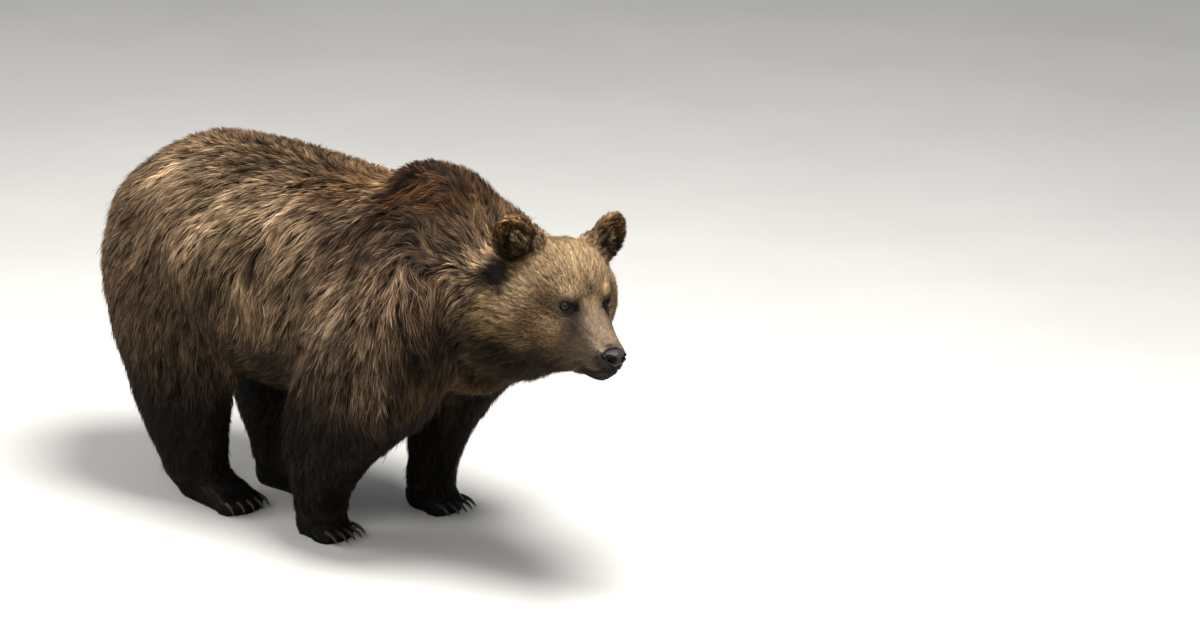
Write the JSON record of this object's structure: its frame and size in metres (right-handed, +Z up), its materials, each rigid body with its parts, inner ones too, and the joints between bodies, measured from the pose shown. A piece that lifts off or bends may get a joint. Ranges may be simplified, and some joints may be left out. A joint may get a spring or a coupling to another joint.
{
  "type": "brown bear",
  "caption": "Life-size still model of an adult brown bear standing on all fours in a short stride, head turned a little to its right, mouth closed, in a shaggy coat.",
  "frame": {"origin": "centre of the bottom of the whole object's box, on the floor", "axes": "+X towards the bear's head, +Y to its left, +Z up"},
  "size_m": [1.9526, 0.7352, 1.0423],
  "materials": {
    "coat_brown": "shaggy brown fur, dark at the root and lighter at the tip",
    "coat_face": "short tan fur of the face",
    "coat_dark": "near-black fur of the lower legs and feet",
    "nose_skin": "bare, slightly moist grained skin",
    "eye": "wet, dark brown",
    "claw": "worn dark horn"
  },
  "bodies": {
    "root": {"claw_forepaw_left_1": "claw", "claw_forepaw_left_2": "claw", "claw_forepaw_left_3": "claw", "claw_forepaw_left_4": "claw", "claw_forepaw_left_5": "claw", "claw_forepaw_right_1": "claw", "claw_forepaw_right_2": "claw", "claw_forepaw_right_3": "claw", "claw_forepaw_right_4": "claw", "claw_forepaw_right_5": "claw", "claw_hindfoot_left_1": "claw", "claw_hindfoot_left_2": "claw", "claw_hindfoot_left_3": "claw", "claw_hindfoot_left_4": "claw", "claw_hindfoot_left_5": "claw", "claw_hindfoot_right_1": "claw", "claw_hindfoot_right_2": "claw", "claw_hindfoot_right_3": "claw", "claw_hindfoot_right_4": "claw", "claw_hindfoot_right_5": "claw", "ear_left": "coat_brown", "ear_right": "coat_brown", "eye_left": "eye", "eye_right": "eye", "foreleg_lower_left": "coat_dark", "foreleg_lower_right": "coat_dark", "foreleg_upper_left": "coat_brown", "foreleg_upper_right": "coat_brown", "forepaw_left": "coat_dark", "forepaw_right": "coat_dark", "head": "coat_face", "hindfoot_left": "coat_dark", "hindfoot_right": "coat_dark", "lower_jaw": "coat_face", "neck": "coat_brown", "nose": "nose_skin", "shank_left": "coat_dark", "shank_right": "coat_dark", "tail": "coat_brown", "thigh_left": "coat_brown", "thigh_right": "coat_brown", "trunk": "coat_brown"}
  },
  "joints": []
}
